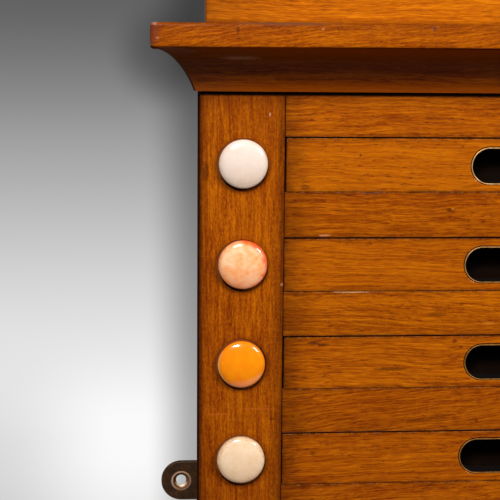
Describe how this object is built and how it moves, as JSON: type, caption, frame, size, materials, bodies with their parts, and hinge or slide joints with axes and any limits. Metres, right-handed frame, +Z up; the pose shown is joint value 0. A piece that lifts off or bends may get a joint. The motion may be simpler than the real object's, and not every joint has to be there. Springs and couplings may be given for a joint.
{
  "type": "billiard scoreboard",
  "caption": "Wall scoreboard in oak for life pool: each row has a glazed ceramic ball marker, numbers on a black board and a slider that covers them.",
  "frame": {"origin": "middle of the back of the frame, on the wall plane, level with the wall lugs", "axes": "+X right as seen from the front, +Y into the wall, +Z up"},
  "size_m": [0.5004, 0.0554, 0.5771],
  "materials": {
    "oak_frame": "polished golden oak",
    "oak_slats": "polished golden oak",
    "oak_sliders": "polished golden oak",
    "dark_oak": "polished oak, stained dark",
    "back_wood": "bare, aged",
    "black_paint": "black paint on wood",
    "brass": "aged",
    "bronzed_brass": "dark bronzed",
    "glaze_white": "glossy glaze",
    "glaze_peach": "glossy mottled glaze",
    "glaze_orange": "glossy glaze",
    "glaze_cream": "glossy glaze",
    "glaze_brown": "glossy glaze",
    "glaze_blue": "glossy glaze",
    "glaze_pink": "glossy glaze",
    "glaze_black": "glossy glaze"
  },
  "bodies": {
    "frame": {"left_stile": "oak_frame", "right_stile": "oak_frame", "top_rail": "oak_frame", "bottom_rail": "oak_frame", "slat_1": "oak_slats", "slat_2": "oak_slats", "slat_3": "oak_slats", "slat_4": "oak_slats", "slat_5": "oak_slats", "slat_6": "oak_slats", "slat_7": "oak_slats", "ball_disc_1": "glaze_white", "ball_disc_2": "glaze_peach", "ball_disc_3": "glaze_orange", "ball_disc_4": "glaze_cream", "ball_disc_5": "glaze_brown", "ball_disc_6": "glaze_blue", "ball_disc_7": "glaze_pink", "ball_disc_8": "glaze_black", "number_board": "black_paint", "back_plank_1": "back_wood", "back_plank_2": "back_wood", "cornice_shelf": "oak_frame", "cornice_cove_front": "dark_oak", "cornice_cove_left": "dark_oak", "cornice_cove_right": "dark_oak", "crest_board": "oak_frame", "base_board": "oak_frame", "left_wall_lug": "bronzed_brass", "right_wall_lug": "bronzed_brass", "left_lug_screw_1": "brass", "left_lug_screw_2": "brass", "right_lug_screw_1": "brass", "right_lug_screw_2": "brass", "left_back_screw_1": "brass", "left_back_screw_2": "brass", "right_back_screw_1": "brass", "right_back_screw_2": "brass", "left_shelf_screw": "brass", "right_shelf_screw": "brass", "left_base_screw": "brass", "right_base_screw": "brass", "left_crest_screw": "brass", "right_crest_screw": "brass"},
    "shutter_1": {"slider_1": "oak_sliders", "slot_liner_1": "brass"},
    "shutter_2": {"slider_2": "oak_sliders", "slot_liner_2": "brass"},
    "shutter_3": {"slider_3": "oak_sliders", "slot_liner_3": "brass"},
    "shutter_4": {"slider_4": "oak_sliders", "slot_liner_4": "brass"},
    "shutter_5": {"slider_5": "oak_sliders", "slot_liner_5": "brass"},
    "shutter_6": {"slider_6": "oak_sliders", "slot_liner_6": "brass"},
    "shutter_7": {"slider_7": "oak_sliders", "slot_liner_7": "brass"},
    "shutter_8": {"slider_8": "oak_sliders", "slot_liner_8": "brass"}
  },
  "joints": [
    {"name": "slider_1_slide", "type": "slide", "parent": "frame", "child": "shutter_1", "axis": [1, 0, 0], "range_m": [0, 0.108]},
    {"name": "slider_2_slide", "type": "slide", "parent": "frame", "child": "shutter_2", "axis": [1, 0, 0], "range_m": [0, 0.108]},
    {"name": "slider_3_slide", "type": "slide", "parent": "frame", "child": "shutter_3", "axis": [1, 0, 0], "range_m": [0, 0.108]},
    {"name": "slider_4_slide", "type": "slide", "parent": "frame", "child": "shutter_4", "axis": [1, 0, 0], "range_m": [0, 0.108]},
    {"name": "slider_5_slide", "type": "slide", "parent": "frame", "child": "shutter_5", "axis": [1, 0, 0], "range_m": [0, 0.108]},
    {"name": "slider_6_slide", "type": "slide", "parent": "frame", "child": "shutter_6", "axis": [1, 0, 0], "range_m": [0, 0.108]},
    {"name": "slider_7_slide", "type": "slide", "parent": "frame", "child": "shutter_7", "axis": [1, 0, 0], "range_m": [0, 0.108]},
    {"name": "slider_8_slide", "type": "slide", "parent": "frame", "child": "shutter_8", "axis": [1, 0, 0], "range_m": [0, 0.108]}
  ]
}
